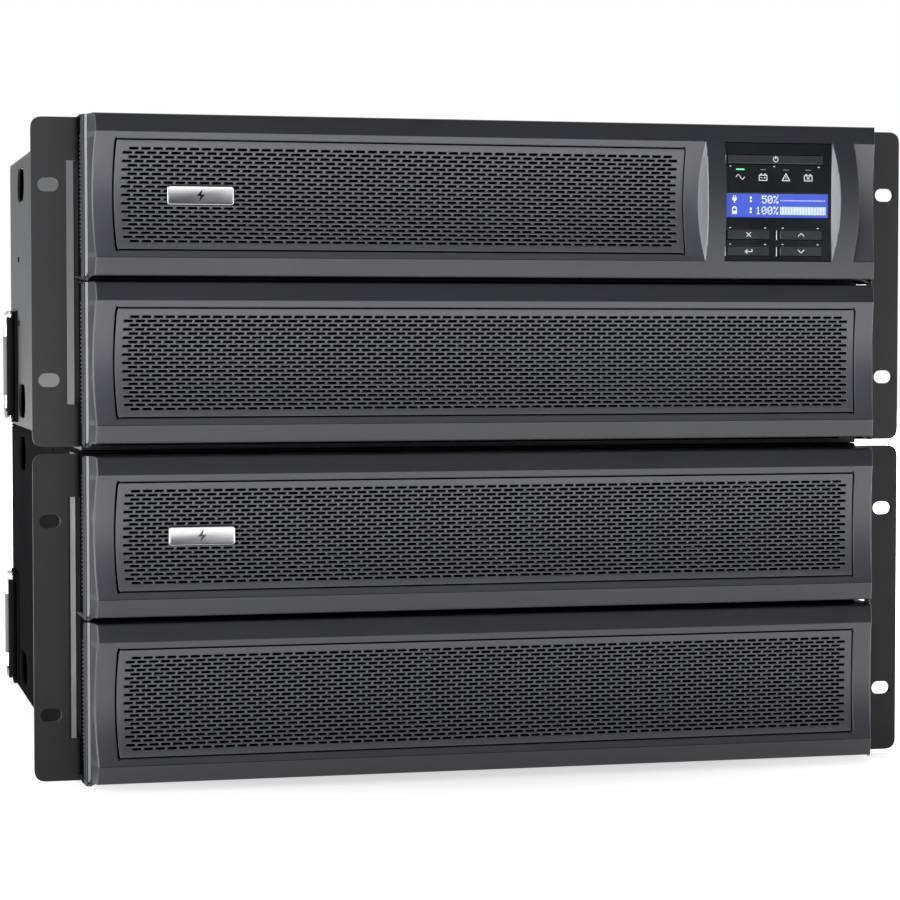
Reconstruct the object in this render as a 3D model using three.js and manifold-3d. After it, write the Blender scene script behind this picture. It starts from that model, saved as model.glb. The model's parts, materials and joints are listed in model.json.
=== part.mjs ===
// Rack-mount uninterruptible power supply standing on its matching battery pack.
// Millimetres, +Z up. The front faces -Y and the origin is at the middle of the underside.
import * as THREE from "three";
import Module from "manifold-3d";
import { mergeVertices } from "three/addons/utils/BufferGeometryUtils.js";

const wasm = await Module();
wasm.setup();

// Driving dimensions
const rackWidth = 482.6;
const bodyWidth = 432;
const unitHeight = 175;
const bodyDepth = 452;
const sheet = 1.5;
const gap = 0.3;
const unitPitch = unitHeight + gap;
const rearReach = 455;

// Rack ears
const earThickness = 2.5;
const earMargin = 1.85;
const earCorner = 6;
const earLeg = 32;
const earBend = 3;
const reliefEdge = 223.1;
const reliefLow = 24;
const reliefHigh = 151;
const slotSpacing = 101.6;
const slotCentre = 232.55;
const slotWidth = 11;
const slotHeight = 7.2;

// Bezels
const bezelHeight = 82.8;
const bezelBase = 4.6;
const bezelGap = 3.1;
const bezelBand = 9.3;
const skirtHalf = 216.5;
const frontHalf = 213.4;
const skirtFront = -24;
const bezelFront = -39;
const crownRadius = 190;
const hollowRadius = 96.4;
const hollowDepth = 8.4;
const zoneHalf = bezelHeight / 2 - bezelBand;
const shellWall = 2.5;

// Grilles
const grilleHalf = 200.9;
const grilleHeight = 55.8;
const grilleThickness = 2;
const displayGrilleRight = 103.6;

// Display module
const islandLeft = 114.6;
const islandRight = 199.6;
const moduleLeft = 125.4;
const moduleRight = 187.2;
const moduleClearance = 0.4;
const fasciaFront = -34.5;
const fasciaThickness = 2.6;

// Bays
const shelfBase = 87.2;
const bayHalf = 206.5;
const trayHalf = 205;
const trayDepth = 383;
const trayBase = 3;

// Side handles: a bail hinged in front, folded back against the side
const handleBottom = 2;
const handleTop = 76;
const pivotX = 220.1;
const pivotY = 405;
const gripY = 439;
const rodRadius = 2;
const gripRadius = 2.5;
const barrelRadius = 2.7;
const pinRadius = 1.1;
const bracketSheet = 1.2;

const finishes = {
  powderCoat: { color: 0x3a3b3d, roughness: 0.55, metalness: 0.3 },
  packCoat: { color: 0x1b1c1e, roughness: 0.55, metalness: 0.3 },
  earCoat: { color: 0x3c3d3f, roughness: 0.5, metalness: 0.3 },
  mouldedPlastic: { color: 0x54555a, roughness: 0.45, metalness: 0 },
  grillePlastic: { color: 0x4c4d52, roughness: 0.5, metalness: 0 },
  glossBlack: { color: 0x14161a, roughness: 0.2, metalness: 0 },
  keyPlastic: { color: 0x2b2c30, roughness: 0.35, metalness: 0 },
  screenBlue: { color: 0x4658d0, roughness: 0.15, metalness: 0 },
  zincSteel: { color: 0x9c9fa3, roughness: 0.4, metalness: 0.9 },
  chrome: { color: 0xc8cacc, roughness: 0.15, metalness: 1 },
  badgeSilver: { color: 0xb4b6b8, roughness: 0.3, metalness: 0.8 },
  circuitGreen: { color: 0x1f5a34, roughness: 0.5, metalness: 0 },
  batteryCase: { color: 0x24262a, roughness: 0.6, metalness: 0 },
  windingSteel: { color: 0x6d6259, roughness: 0.6, metalness: 0.5 },
  aluminium: { color: 0xaeb1b5, roughness: 0.35, metalness: 0.9 },
  socketBlack: { color: 0x101113, roughness: 0.5, metalness: 0 },
  fanBlack: { color: 0x17181a, roughness: 0.5, metalness: 0 },
};

// Solids
function solidOf(geometry) {
  const bare = geometry.clone();
  bare.deleteAttribute("normal");
  bare.deleteAttribute("uv");
  const merged = mergeVertices(bare, 1e-4);
  const vertProperties = new Float32Array(merged.attributes.position.array);
  const triVerts = new Uint32Array(merged.index.array);
  return new wasm.Manifold(new wasm.Mesh({ numProp: 3, vertProperties, triVerts }));
}

function geometryOf(solid) {
  const mesh = solid.getMesh();
  const geometry = new THREE.BufferGeometry();
  geometry.setAttribute("position", new THREE.BufferAttribute(mesh.vertProperties, 3));
  geometry.setIndex(new THREE.BufferAttribute(mesh.triVerts, 1));
  geometry.computeVertexNormals();
  return geometry;
}

function join(...geometries) {
  return geometryOf(geometries.map(solidOf).reduce((whole, next) => whole.add(next)));
}

function cut(body, ...tools) {
  return geometryOf(tools.map(solidOf).reduce((whole, tool) => whole.subtract(tool), solidOf(body)));
}

function block(x0, x1, y0, y1, z0, z1) {
  const geometry = new THREE.BoxGeometry(x1 - x0, y1 - y0, z1 - z0);
  return geometry.translate((x0 + x1) / 2, (y0 + y1) / 2, (z0 + z1) / 2);
}

// Flat outline in X and Z, standing between two Y planes
function uprightPlate(shape, y0, y1, curveSegments = 6) {
  const geometry = new THREE.ExtrudeGeometry(shape, { depth: y1 - y0, bevelEnabled: false, curveSegments });
  return geometry.rotateX(Math.PI / 2).translate(0, y1, 0);
}

// Outline in Y and Z, swept along X
function sweptProfile(shape, x0, x1, curveSegments = 6) {
  const geometry = new THREE.ExtrudeGeometry(shape, { depth: x1 - x0, bevelEnabled: false, curveSegments });
  const turn = new THREE.Matrix4().makeBasis(
    new THREE.Vector3(0, 1, 0), new THREE.Vector3(0, 0, 1), new THREE.Vector3(1, 0, 0));
  return geometry.applyMatrix4(turn).translate(x0, 0, 0);
}

function rodAlongY(x, z, radius, y0, y1, sides = 16) {
  return new THREE.CylinderGeometry(radius, radius, y1 - y0, sides).translate(x, (y0 + y1) / 2, z);
}

function rodAlongZ(x, y, radius, z0, z1, sides = 12) {
  const geometry = new THREE.CylinderGeometry(radius, radius, z1 - z0, sides).rotateX(Math.PI / 2);
  return geometry.translate(x, y, (z0 + z1) / 2);
}

function rectangle(x0, x1, z0, z1) {
  const corners = [[x0, z0], [x1, z0], [x1, z1], [x0, z1]];
  return new THREE.Shape(corners.map(([x, z]) => new THREE.Vector2(x, z)));
}

function roundedRectangle(x0, x1, z0, z1, r) {
  const shape = new THREE.Shape();
  shape.absarc(x1 - r, z0 + r, r, -Math.PI / 2, 0);
  shape.absarc(x1 - r, z1 - r, r, 0, Math.PI / 2);
  shape.absarc(x0 + r, z1 - r, r, Math.PI / 2, Math.PI);
  shape.absarc(x0 + r, z0 + r, r, Math.PI, Math.PI * 1.5);
  return shape;
}

// Slot with round ends, longer across than high
function obround(x, z, width, height) {
  const r = height / 2;
  const shape = new THREE.Shape();
  shape.absarc(x + width / 2 - r, z, r, -Math.PI / 2, Math.PI / 2);
  shape.absarc(x - width / 2 + r, z, r, Math.PI / 2, Math.PI * 1.5);
  return shape;
}

function piece(name, geometry, finish) {
  const mesh = new THREE.Mesh(geometry, new THREE.MeshStandardMaterial(finishes[finish]));
  mesh.name = name;
  return mesh;
}

// Sheet-metal body
const handHoleY = 367;
const handHoleLength = 50;
const handHoleHeight = 22;
const handHoleLow = 17;
const handHoleHigh = 158;

function chassis() {
  const half = bodyWidth / 2;
  const y0 = sheet + gap;
  const y1 = bodyDepth - sheet - gap;
  const top = unitHeight - sheet - gap;
  const floor = block(-half, half, y0, y1, 0, sheet);
  const left = block(-half, -half + sheet, y0, y1, 0, top);
  const right = block(half - sheet, half, y0, y1, 0, top);
  const holes = [handHoleLow, handHoleHigh].map(
    (z) => sweptProfile(obround(handHoleY, z, handHoleLength, handHoleHeight), -half - 1, half + 1, 4));
  return cut(join(floor, left, right), ...holes);
}

function topCover() {
  const half = bodyWidth / 2;
  const lip = half - sheet - gap;
  const top = unitHeight - sheet;
  const plate = block(-half, half, 0, bodyDepth, top, unitHeight);
  const lips = [-1, 1].map((side) => {
    const inner = side * (lip - sheet);
    const outer = side * lip;
    return block(Math.min(inner, outer), Math.max(inner, outer), 6, bodyDepth - 30, top - 2, top + 1);
  });
  return join(plate, ...lips);
}

function frontFrame() {
  const half = bodyWidth / 2;
  const outline = rectangle(-half, half, 0, unitHeight - sheet - gap);
  outline.holes.push(rectangle(-bayHalf, bayHalf, 2.4, 85.4));
  outline.holes.push(rectangle(-bayHalf, bayHalf, 90.4, 171));
  return uprightPlate(outline, 0, sheet);
}

function rearPanel(holes) {
  const half = bodyWidth / 2;
  const outline = rectangle(-half, half, 0, unitHeight - sheet - gap);
  outline.holes.push(...holes);
  return uprightPlate(outline, bodyDepth - sheet, bodyDepth, 5);
}

function shelf() {
  const half = bodyWidth / 2 - sheet - gap;
  const plate = block(-half, half, sheet + gap, 405, shelfBase, shelfBase + sheet);
  const flanges = [-1, 1].map((side) => {
    const inner = side * (half - sheet);
    const outer = side * half;
    return block(Math.min(inner, outer), Math.max(inner, outer), 12, 400, shelfBase - 6, shelfBase + 1);
  });
  return join(plate, ...flanges);
}

function ear(side) {
  const inner = bodyWidth / 2 + gap;
  const outer = rackWidth / 2;
  const low = earMargin;
  const high = unitHeight - earMargin + gap;
  const face = new THREE.Shape();
  face.moveTo(side * (inner + earBend), low);
  face.lineTo(side * (outer - earCorner), low);
  face.quadraticCurveTo(side * outer, low, side * outer, low + earCorner);
  face.lineTo(side * outer, high - earCorner);
  face.quadraticCurveTo(side * outer, high, side * (outer - earCorner), high);
  face.lineTo(side * (inner + earBend), high);
  for (const offset of [-slotSpacing / 2, slotSpacing / 2]) {
    face.holes.push(obround(side * slotCentre, unitHeight / 2 + offset, slotWidth, slotHeight));
  }
  const bend = new THREE.Shape();
  bend.moveTo(side * (inner + earBend + 1), 0);
  bend.lineTo(side * (inner + earBend), 0);
  bend.quadraticCurveTo(side * inner, 0, side * inner, earBend);
  bend.lineTo(side * inner, earLeg);
  bend.lineTo(side * (inner + earThickness), earLeg);
  bend.lineTo(side * (inner + earThickness), earThickness);
  bend.lineTo(side * (inner + earBend + 1), earThickness);
  const leg = new THREE.ExtrudeGeometry(bend, { depth: high - low, bevelEnabled: false, curveSegments: 5 });
  leg.translate(0, 0, low);
  const reliefX = [side * (inner - 1), side * reliefEdge].sort((a, b) => a - b);
  const relief = block(reliefX[0], reliefX[1], -1, 6, reliefLow, reliefHigh);
  return cut(join(uprightPlate(face, 0, earThickness, 5), leg), relief);
}

// Bezels: a crowned front with a long hollow along it, between two bands
function crownY(dz) {
  return bezelFront + crownRadius - Math.sqrt(crownRadius ** 2 - dz ** 2);
}

function hollowY(dz) {
  const centre = bezelFront + hollowDepth - hollowRadius;
  return centre + Math.sqrt(hollowRadius ** 2 - dz ** 2);
}

function steps(from, to, count) {
  return Array.from({ length: count + 1 }, (_, i) => from + ((to - from) * i) / count);
}

function crownSolid(centreZ) {
  const points = steps(-bezelHeight / 2, bezelHeight / 2, 14).map(
    (dz) => new THREE.Vector2(crownY(dz), centreZ + dz));
  points.push(new THREE.Vector2(skirtFront + 3, centreZ + bezelHeight / 2));
  points.push(new THREE.Vector2(skirtFront + 3, centreZ - bezelHeight / 2));
  return sweptProfile(new THREE.Shape(points.reverse()), -frontHalf, frontHalf);
}

function hollowTool(centreZ, x0, x1) {
  const points = steps(-zoneHalf, zoneHalf, 12).map(
    (dz) => new THREE.Vector2(hollowY(dz), centreZ + dz));
  points.push(new THREE.Vector2(bezelFront - 5, centreZ + zoneHalf));
  points.push(new THREE.Vector2(bezelFront - 5, centreZ - zoneHalf));
  return sweptProfile(new THREE.Shape(points), x0, x1);
}

function bezelBlank(centreZ) {
  const low = centreZ - bezelHeight / 2;
  const high = centreZ + bezelHeight / 2;
  return join(crownSolid(centreZ), block(-skirtHalf, skirtHalf, skirtFront, -gap, low, high));
}

function bezelCavity(centreZ) {
  const reach = bezelHeight / 2 - shellWall;
  const wide = block(-skirtHalf + shellWall, skirtHalf - shellWall, skirtFront + 2, 1, centreZ - reach, centreZ + reach);
  const narrow = block(-frontHalf + 3, frontHalf - 3, -28, 0, centreZ - reach, centreZ + reach);
  return join(wide, narrow);
}

function grilleWindow(centreZ, x0, x1) {
  const half = grilleHeight / 2 + gap;
  return block(x0 - gap, x1 + gap, -50, -20, centreZ - half, centreZ + half);
}

function plainBezel(centreZ) {
  return cut(
    bezelBlank(centreZ),
    hollowTool(centreZ, -frontHalf - 1, frontHalf + 1),
    bezelCavity(centreZ),
    grilleWindow(centreZ, -grilleHalf, grilleHalf),
  );
}

function displayBezel(centreZ) {
  return cut(
    bezelBlank(centreZ),
    hollowTool(centreZ, -frontHalf - 1, islandLeft),
    hollowTool(centreZ, islandRight, frontHalf + 1),
    bezelCavity(centreZ),
    grilleWindow(centreZ, -grilleHalf, displayGrilleRight),
    block(moduleLeft, moduleRight, -50, -20, centreZ - zoneHalf, centreZ + zoneHalf),
  );
}

function grille(centreZ, x0, x1) {
  const half = grilleHeight / 2;
  const front = steps(-half, half, 12).map((dz) => new THREE.Vector2(hollowY(dz), centreZ + dz));
  const back = steps(half, -half, 12).map(
    (dz) => new THREE.Vector2(hollowY(dz) + grilleThickness, centreZ + dz));
  return sweptProfile(new THREE.Shape([...front, ...back].reverse()), x0, x1);
}

function badge(centreZ) {
  const plate = uprightPlate(roundedRectangle(-174.8, -140.2, centreZ - 4.8, centreZ + 4.8, 1.2), -32.8, -31.2, 3);
  return plate;
}

// Display module
const keys = {
  power_button: { x0: 127.4, x1: 182, z0: 20.6, z1: 25.4 },
  escape_button: { x0: 127.4, x1: 151.4, z0: -20, z1: -15.2 },
  up_button: { x0: 157.4, x1: 181.6, z0: -20, z1: -15.2 },
  enter_button: { x0: 127.4, x1: 151.4, z0: -28.8, z1: -24 },
  down_button: { x0: 157.4, x1: 181.6, z0: -28.8, z1: -24 },
};
const screen = { x0: 127, x1: 185.4, z0: -8.2, z1: 4.6 };
const keyFront = -35.6;
const keyRoot = -29.4;

function displayFascia(centreZ) {
  const x0 = moduleLeft + moduleClearance;
  const x1 = moduleRight - moduleClearance;
  const reach = zoneHalf - moduleClearance;
  const back = fasciaFront + fasciaThickness;
  const plate = block(x0, x1, fasciaFront, back, centreZ - reach, centreZ + reach);
  const holes = [...Object.values(keys), screen].map(({ x0: left, x1: right, z0, z1 }) => block(
    left - gap, right + gap, fasciaFront - 1, back + 1, centreZ + z0 - gap, centreZ + z1 + gap));
  return cut(plate, ...holes);
}

function displayHousing(centreZ) {
  const x0 = moduleLeft + moduleClearance;
  const x1 = moduleRight - moduleClearance;
  const reach = zoneHalf - moduleClearance;
  const front = fasciaFront + fasciaThickness + gap;
  const shell = block(x0, x1, front, -4, centreZ - reach, centreZ + reach);
  const wall = 0.8;
  const pocket = block(x0 + wall, x1 - wall, front - 1, -6, centreZ - reach + wall, centreZ + reach - wall);
  const leadHole = rodAlongY((x0 + x1) / 2, centreZ, 6, -8, 0);
  return cut(shell, pocket, leadHole);
}

function lcdScreen(centreZ) {
  return block(screen.x0, screen.x1, -34.1, -32, centreZ + screen.z0, centreZ + screen.z1);
}

function displayBoard(centreZ) {
  const board = block(moduleLeft + 3, moduleRight - 3, -22, -20.4, centreZ - 28, centreZ + 28);
  const plug = block(150, 162, -21, -13, centreZ - 4, centreZ + 4);
  return join(board, plug);
}

function keyCap(key, centreZ) {
  const cap = block(key.x0, key.x1, keyFront, keyRoot, centreZ + key.z0, centreZ + key.z1);
  const lip = 0.5;
  const stop = block(
    key.x0 - lip, key.x1 + lip, keyRoot - 1, keyRoot, centreZ + key.z0 - lip, centreZ + key.z1 + lip);
  return join(cap, stop);
}

// Battery trays and blocks
function batteryTray(floorZ) {
  const wall = 1.2;
  const front = 2.2;
  const back = front + trayDepth;
  const pan = block(-trayHalf, trayHalf, front, back, floorZ, floorZ + wall);
  const left = block(-trayHalf, -trayHalf + wall, front, back, floorZ, floorZ + 60);
  const right = block(trayHalf - wall, trayHalf, front, back, floorZ, floorZ + 60);
  const rear = block(-trayHalf, trayHalf, back - wall, back, floorZ, floorZ + 60);
  const face = block(-trayHalf, trayHalf, front, front + wall, floorZ, floorZ + 78);
  const grip = uprightPlate(obround(0, floorZ + 40, 90, 26), front - 1, front + wall + 1, 5);
  return cut(join(pan, left, right, rear, face), grip);
}

function batteryBlock(floorZ) {
  const base = floorZ + 1.5;
  const top = base + 70;
  const front = 32;
  const back = 382;
  const middle = (front + back) / 2;
  const half = 202;
  const grooves = [-101, 0, 101].map((x) => block(x - 1, x + 1, front - 1, back + 1, top - 4, top + 1));
  grooves.push(block(-half - 1, half + 1, middle - 1, middle + 1, top - 4, top + 1));
  return cut(block(-half, half, front, back, base, top), ...grooves);
}

// Folding side handles
function handleRod(side) {
  const corner = 7;
  const top = handleTop - rodRadius;
  const bottom = handleBottom + rodRadius;
  const point = (y, z) => new THREE.Vector3(side * pivotX, y, z);
  const path = new THREE.CurvePath();
  path.add(new THREE.LineCurve3(point(pivotY, top), point(gripY - corner, top)));
  path.add(new THREE.QuadraticBezierCurve3(
    point(gripY - corner, top), point(gripY, top), point(gripY, top - corner)));
  path.add(new THREE.LineCurve3(point(gripY, top - corner), point(gripY, bottom + corner)));
  path.add(new THREE.QuadraticBezierCurve3(
    point(gripY, bottom + corner), point(gripY, bottom), point(gripY - corner, bottom)));
  path.add(new THREE.LineCurve3(point(gripY - corner, bottom), point(pivotY, bottom)));
  const circle = new THREE.Shape();
  circle.absarc(0, 0, rodRadius, 0, Math.PI * 2);
  const rod = new THREE.ExtrudeGeometry(circle, { extrudePath: path, steps: 30, curveSegments: 5 });
  const x = side * pivotX;
  const pins = [
    rodAlongZ(x, pivotY, rodRadius + 0.4, top - rodRadius, top + rodRadius),
    rodAlongZ(x, pivotY, pinRadius, top - rodRadius - 6, top, 8),
    rodAlongZ(x, pivotY, rodRadius + 0.4, bottom - rodRadius, bottom + rodRadius),
    rodAlongZ(x, pivotY, pinRadius, bottom, bottom + rodRadius + 6, 8),
  ];
  const grip = rodAlongZ(x, gripY, gripRadius, bottom + 9, top - 9, 12);
  return join(rod, ...pins, grip);
}

function handleBracket(side) {
  const wall = bodyWidth / 2 + gap;
  const barrelLow = handleBottom + rodRadius * 2 + gap;
  const barrelHigh = handleTop - rodRadius * 2 - gap;
  const plateX = [side * wall, side * (wall + bracketSheet)].sort((a, b) => a - b);
  const plate = block(plateX[0], plateX[1], pivotY - 5, gripY + 8, handleBottom, handleTop);
  const barrel = rodAlongZ(side * pivotX, pivotY, barrelRadius, barrelLow, barrelHigh, 16);
  const bores = [
    rodAlongZ(side * pivotX, pivotY, pinRadius + 0.4, barrelLow - 1, barrelLow + 7, 10),
    rodAlongZ(side * pivotX, pivotY, pinRadius + 0.4, barrelHigh - 7, barrelHigh + 1, 10),
  ];
  return cut(join(plate, barrel), ...bores);
}

// Rear fittings of the power supply
const fanCentres = [72, 158];
const fanZ = 131;
const fanRadius = 37;
const fanBack = bodyDepth - sheet - gap;
const outletColumns = [-182, -144, -106, -68];
const outletRows = [114, 146];
const inlet = { x: 165, z: 42, width: 30, height: 24 };
const leadSocket = { x: 78, z: 42, width: 56, height: 30 };
const breaker = { x: 122, z: 42, radius: 7 };
const slotCover = { x0: -196, x1: -84, z0: 22, z1: 62 };

function fanFrame() {
  const housing = block(28, 202, fanBack - 25, fanBack, 92, 170);
  const ducts = fanCentres.map((x) => rodAlongY(x, fanZ, fanRadius + 1, fanBack - 26, fanBack + 1, 28));
  const struts = fanCentres.flatMap((x) => [
    rodAlongY(x, fanZ, 14, fanBack - 25, fanBack - 21, 16),
    block(x - fanRadius - 3, x + fanRadius + 3, fanBack - 25, fanBack - 22, fanZ - 1.5, fanZ + 1.5),
    block(x - 1.5, x + 1.5, fanBack - 25, fanBack - 22, fanZ - fanRadius - 1.5, fanZ + fanRadius + 1.5),
  ]);
  return join(cut(housing, ...ducts), ...struts);
}

function fanRotor(x) {
  const front = fanBack - 20;
  const back = fanBack - 2;
  const blades = steps(0, 6, 6).map((i) => {
    const blade = new THREE.BoxGeometry(fanRadius - 12, 15, 1.4);
    blade.rotateX(0.75).translate((fanRadius + 12) / 2 - 1, 0, 0);
    return blade.rotateY((i * Math.PI * 2) / 7).translate(x, (front + back) / 2, fanZ);
  });
  return join(rodAlongY(x, fanZ, 15, front, back, 20), ...blades);
}

function outletBank() {
  const face = bodyDepth;
  const body = block(-204, -46, face - 22, face, 96, 164);
  const moats = [];
  for (const x of outletColumns) {
    for (const z of outletRows) {
      const rim = roundedRectangle(x - 13, x + 13, z - 9, z + 9, 3);
      rim.holes.push(roundedRectangle(x - 11, x + 11, z - 7, z + 7, 2));
      moats.push(uprightPlate(rim, face - 3.5, face + 1, 2));
      for (const [dx, dz] of [[-6.5, -1], [0, 3.2], [6.5, -1]]) {
        moats.push(block(x + dx - 1, x + dx + 1, face - 3.5, face + 1, z + dz - 2.2, z + dz + 2.2));
      }
    }
  }
  return cut(body, ...moats);
}

function powerInlet() {
  const { x, z, width, height } = inlet;
  const face = bodyDepth;
  const body = block(x - width / 2, x + width / 2, face - 24, face, z - height / 2, z + height / 2);
  const well = uprightPlate(roundedRectangle(x - 12, x + 12, z - 8.5, z + 8.5, 2), face - 14, face + 1, 2);
  const blades = [-6.5, 0, 6.5].map((dx) => block(x + dx - 1, x + dx + 1, face - 15, face - 3, z - 3, z + 3));
  return join(cut(body, well), ...blades);
}

function batteryLeadSocket() {
  const { x, z, width, height } = leadSocket;
  const face = bodyDepth;
  const body = block(x - width / 2, x + width / 2, face - 24, face, z - height / 2, z + height / 2);
  const ways = [-13, 13].map((dx) => uprightPlate(
    roundedRectangle(x + dx - 9, x + dx + 9, z - 8, z + 8, 3), face - 3.5, face + 1, 2));
  return cut(body, ...ways);
}

function slotCoverPlate() {
  const { x0, x1, z0, z1 } = slotCover;
  const face = bodyDepth + gap;
  const plate = uprightPlate(roundedRectangle(x0, x1, z0, z1, 2), face, face + 1.4, 2);
  const grips = [x0 + 7, x1 - 7].map((x) => rodAlongY(x, (z0 + z1) / 2, 3.4, face + 1, rearReach, 16));
  return join(plate, ...grips);
}

function breakerButton() {
  const { x, z, radius } = breaker;
  return join(
    rodAlongY(x, z, radius - 1.6, bodyDepth - 10, rearReach, 20),
    rodAlongY(x, z, radius + 1, bodyDepth - 10, bodyDepth - sheet - 3, 20),
  );
}

function windowAround({ x, z, width, height }) {
  return rectangle(x - width / 2 - gap, x + width / 2 + gap, z - height / 2 - gap, z + height / 2 + gap);
}

function upsRearPanel() {
  const round = new THREE.Shape();
  round.absarc(breaker.x, breaker.z, breaker.radius, 0, Math.PI * 2);
  const fanHoles = fanCentres.map((x) => {
    const hole = new THREE.Shape();
    hole.absarc(x, fanZ, fanRadius, 0, Math.PI * 2);
    return hole;
  });
  return rearPanel([
    rectangle(-204 - gap, -46 + gap, 96 - gap, 164 + gap),
    windowAround(inlet),
    windowAround(leadSocket),
    round,
    ...fanHoles,
  ]);
}

// Power electronics on the upper shelf
const shelfTop = shelfBase + sheet;
const boardZ = shelfTop + 7;

function mainBoard() {
  const plate = block(-70, 205, 20, 400, boardZ, boardZ + 1.6);
  const feet = [];
  for (const x of [-60, 68, 195]) {
    for (const y of [32, 388]) {
      feet.push(rodAlongZ(x, y, 3.5, shelfTop + gap, boardZ + 1, 8));
    }
  }
  const cans = [-50, -22, 6, 34].map((x) => rodAlongZ(x, 60, 11, boardZ + 1, boardZ + 46, 14));
  const relays = [130, 160, 190].map((x) => block(x - 12, x + 10, 345, 375, boardZ + 1, boardZ + 22));
  const choke = block(-55, -10, 330, 375, boardZ + 1, boardZ + 38);
  return join(plate, ...feet, ...cans, ...relays, choke);
}

function transformer() {
  const z0 = shelfTop + gap;
  const core = block(-200, -90, 50, 190, z0 + 8, z0 + 74);
  const winding = block(-185, -105, 34, 206, z0 + 18, z0 + 64);
  const foot = block(-206, -84, 60, 180, z0, z0 + 9);
  return join(core, winding, foot);
}

function heatSink() {
  const z0 = boardZ + 1.6 + gap;
  const base = block(40, 180, 120, 310, z0, z0 + 7);
  const fins = steps(43, 177, 12).map((x) => block(x - 1, x + 1, 120, 310, z0 + 5, z0 + 56));
  return join(base, ...fins);
}

// Rear fittings of the battery pack
const packSocket = { x: -60, z: 120, width: 110, height: 34 };
const packSwitch = { x: 90, z: 120, width: 26, height: 40 };

function packLeadSocket() {
  const { x, z, width, height } = packSocket;
  const face = bodyDepth;
  const body = block(x - width / 2, x + width / 2, face - 24, face, z - height / 2, z + height / 2);
  const ways = [-40, -14, 14, 40].map((dx) => uprightPlate(
    roundedRectangle(x + dx - 9, x + dx + 9, z - 9, z + 9, 3), face - 3.5, face + 1, 2));
  return cut(body, ...ways);
}

function packBreakerSwitch() {
  const { x, z } = packSwitch;
  const rocker = rodAlongY(0, 0, 12.5, -7, 7, 24).rotateZ(Math.PI / 2);
  const bar = block(-5.5, 5.5, -2, 15, -2.2, 2.2);
  return join(rocker, bar).translate(x, bodyDepth - 12.5, z);
}

function packRearPanel() {
  const { x, z } = packSwitch;
  return rearPanel([windowAround(packSocket), rectangle(x - 8, x + 8, z - 13.5, z + 13.5)]);
}

// Assembly
const lowerCentre = bezelBase + bezelHeight / 2;
const upperCentre = lowerCentre + bezelHeight + bezelGap;
const upperTrayFloor = shelfTop + 2.2;

function commonPieces(unit, coat) {
  return [
    piece(`${unit}_chassis`, chassis(), coat),
    piece(`${unit}_top_cover`, topCover(), coat),
    piece(`${unit}_front_frame`, frontFrame(), coat),
    piece(`${unit}_shelf`, shelf(), "zincSteel"),
    piece(`${unit}_left_ear`, ear(-1), "earCoat"),
    piece(`${unit}_right_ear`, ear(1), "earCoat"),
    piece(`${unit}_left_handle`, handleRod(-1), "chrome"),
    piece(`${unit}_right_handle`, handleRod(1), "chrome"),
    piece(`${unit}_left_handle_bracket`, handleBracket(-1), "packCoat"),
    piece(`${unit}_right_handle_bracket`, handleBracket(1), "packCoat"),
    piece(`${unit}_badge`, badge(upperCentre), "badgeSilver"),
  ];
}

const ups = new THREE.Group();
ups.position.z = unitPitch;
ups.add(
  ...commonPieces("ups", "powderCoat"),
  piece("ups_rear_panel", upsRearPanel(), "powderCoat"),
  piece("ups_display_bezel", displayBezel(upperCentre), "mouldedPlastic"),
  piece("ups_display_grille", grille(upperCentre, -grilleHalf, displayGrilleRight), "grillePlastic"),
  piece("ups_battery_bezel", plainBezel(lowerCentre), "mouldedPlastic"),
  piece("ups_battery_grille", grille(lowerCentre, -grilleHalf, grilleHalf), "grillePlastic"),
  piece("display_housing", displayHousing(upperCentre), "glossBlack"),
  piece("display_fascia", displayFascia(upperCentre), "glossBlack"),
  piece("lcd_screen", lcdScreen(upperCentre), "screenBlue"),
  piece("display_board", displayBoard(upperCentre), "circuitGreen"),
  ...Object.entries(keys).map(([name, key]) => piece(name, keyCap(key, upperCentre), "keyPlastic")),
  piece("ups_battery_tray", batteryTray(trayBase), "zincSteel"),
  piece("ups_battery_block", batteryBlock(trayBase), "batteryCase"),
  piece("main_board", mainBoard(), "circuitGreen"),
  piece("transformer", transformer(), "windingSteel"),
  piece("heat_sink", heatSink(), "aluminium"),
  piece("fan_frame", fanFrame(), "fanBlack"),
  piece("left_fan_rotor", fanRotor(fanCentres[0]), "fanBlack"),
  piece("right_fan_rotor", fanRotor(fanCentres[1]), "fanBlack"),
  piece("outlet_bank", outletBank(), "socketBlack"),
  piece("power_inlet", powerInlet(), "socketBlack"),
  piece("battery_lead_socket", batteryLeadSocket(), "socketBlack"),
  piece("slot_cover", slotCoverPlate(), "zincSteel"),
  piece("breaker_button", breakerButton(), "keyPlastic"),
);

const pack = new THREE.Group();
pack.add(
  ...commonPieces("pack", "packCoat"),
  piece("pack_rear_panel", packRearPanel(), "packCoat"),
  piece("pack_upper_bezel", plainBezel(upperCentre), "mouldedPlastic"),
  piece("pack_upper_grille", grille(upperCentre, -grilleHalf, grilleHalf), "grillePlastic"),
  piece("pack_lower_bezel", plainBezel(lowerCentre), "mouldedPlastic"),
  piece("pack_lower_grille", grille(lowerCentre, -grilleHalf, grilleHalf), "grillePlastic"),
  piece("pack_upper_tray", batteryTray(upperTrayFloor), "zincSteel"),
  piece("pack_upper_battery_block", batteryBlock(upperTrayFloor), "batteryCase"),
  piece("pack_lower_tray", batteryTray(trayBase), "zincSteel"),
  piece("pack_lower_battery_block", batteryBlock(trayBase), "batteryCase"),
  piece("pack_lead_socket", packLeadSocket(), "socketBlack"),
  piece("pack_breaker_switch", packBreakerSwitch(), "keyPlastic"),
);

const group = new THREE.Group();
group.position.y = -(rearReach + bezelFront) / 2;
group.add(ups, pack);
group.updateMatrixWorld(true);

export default group;
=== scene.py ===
import json
import math

import bmesh
import bpy
from mathutils import Matrix, Vector


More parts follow.
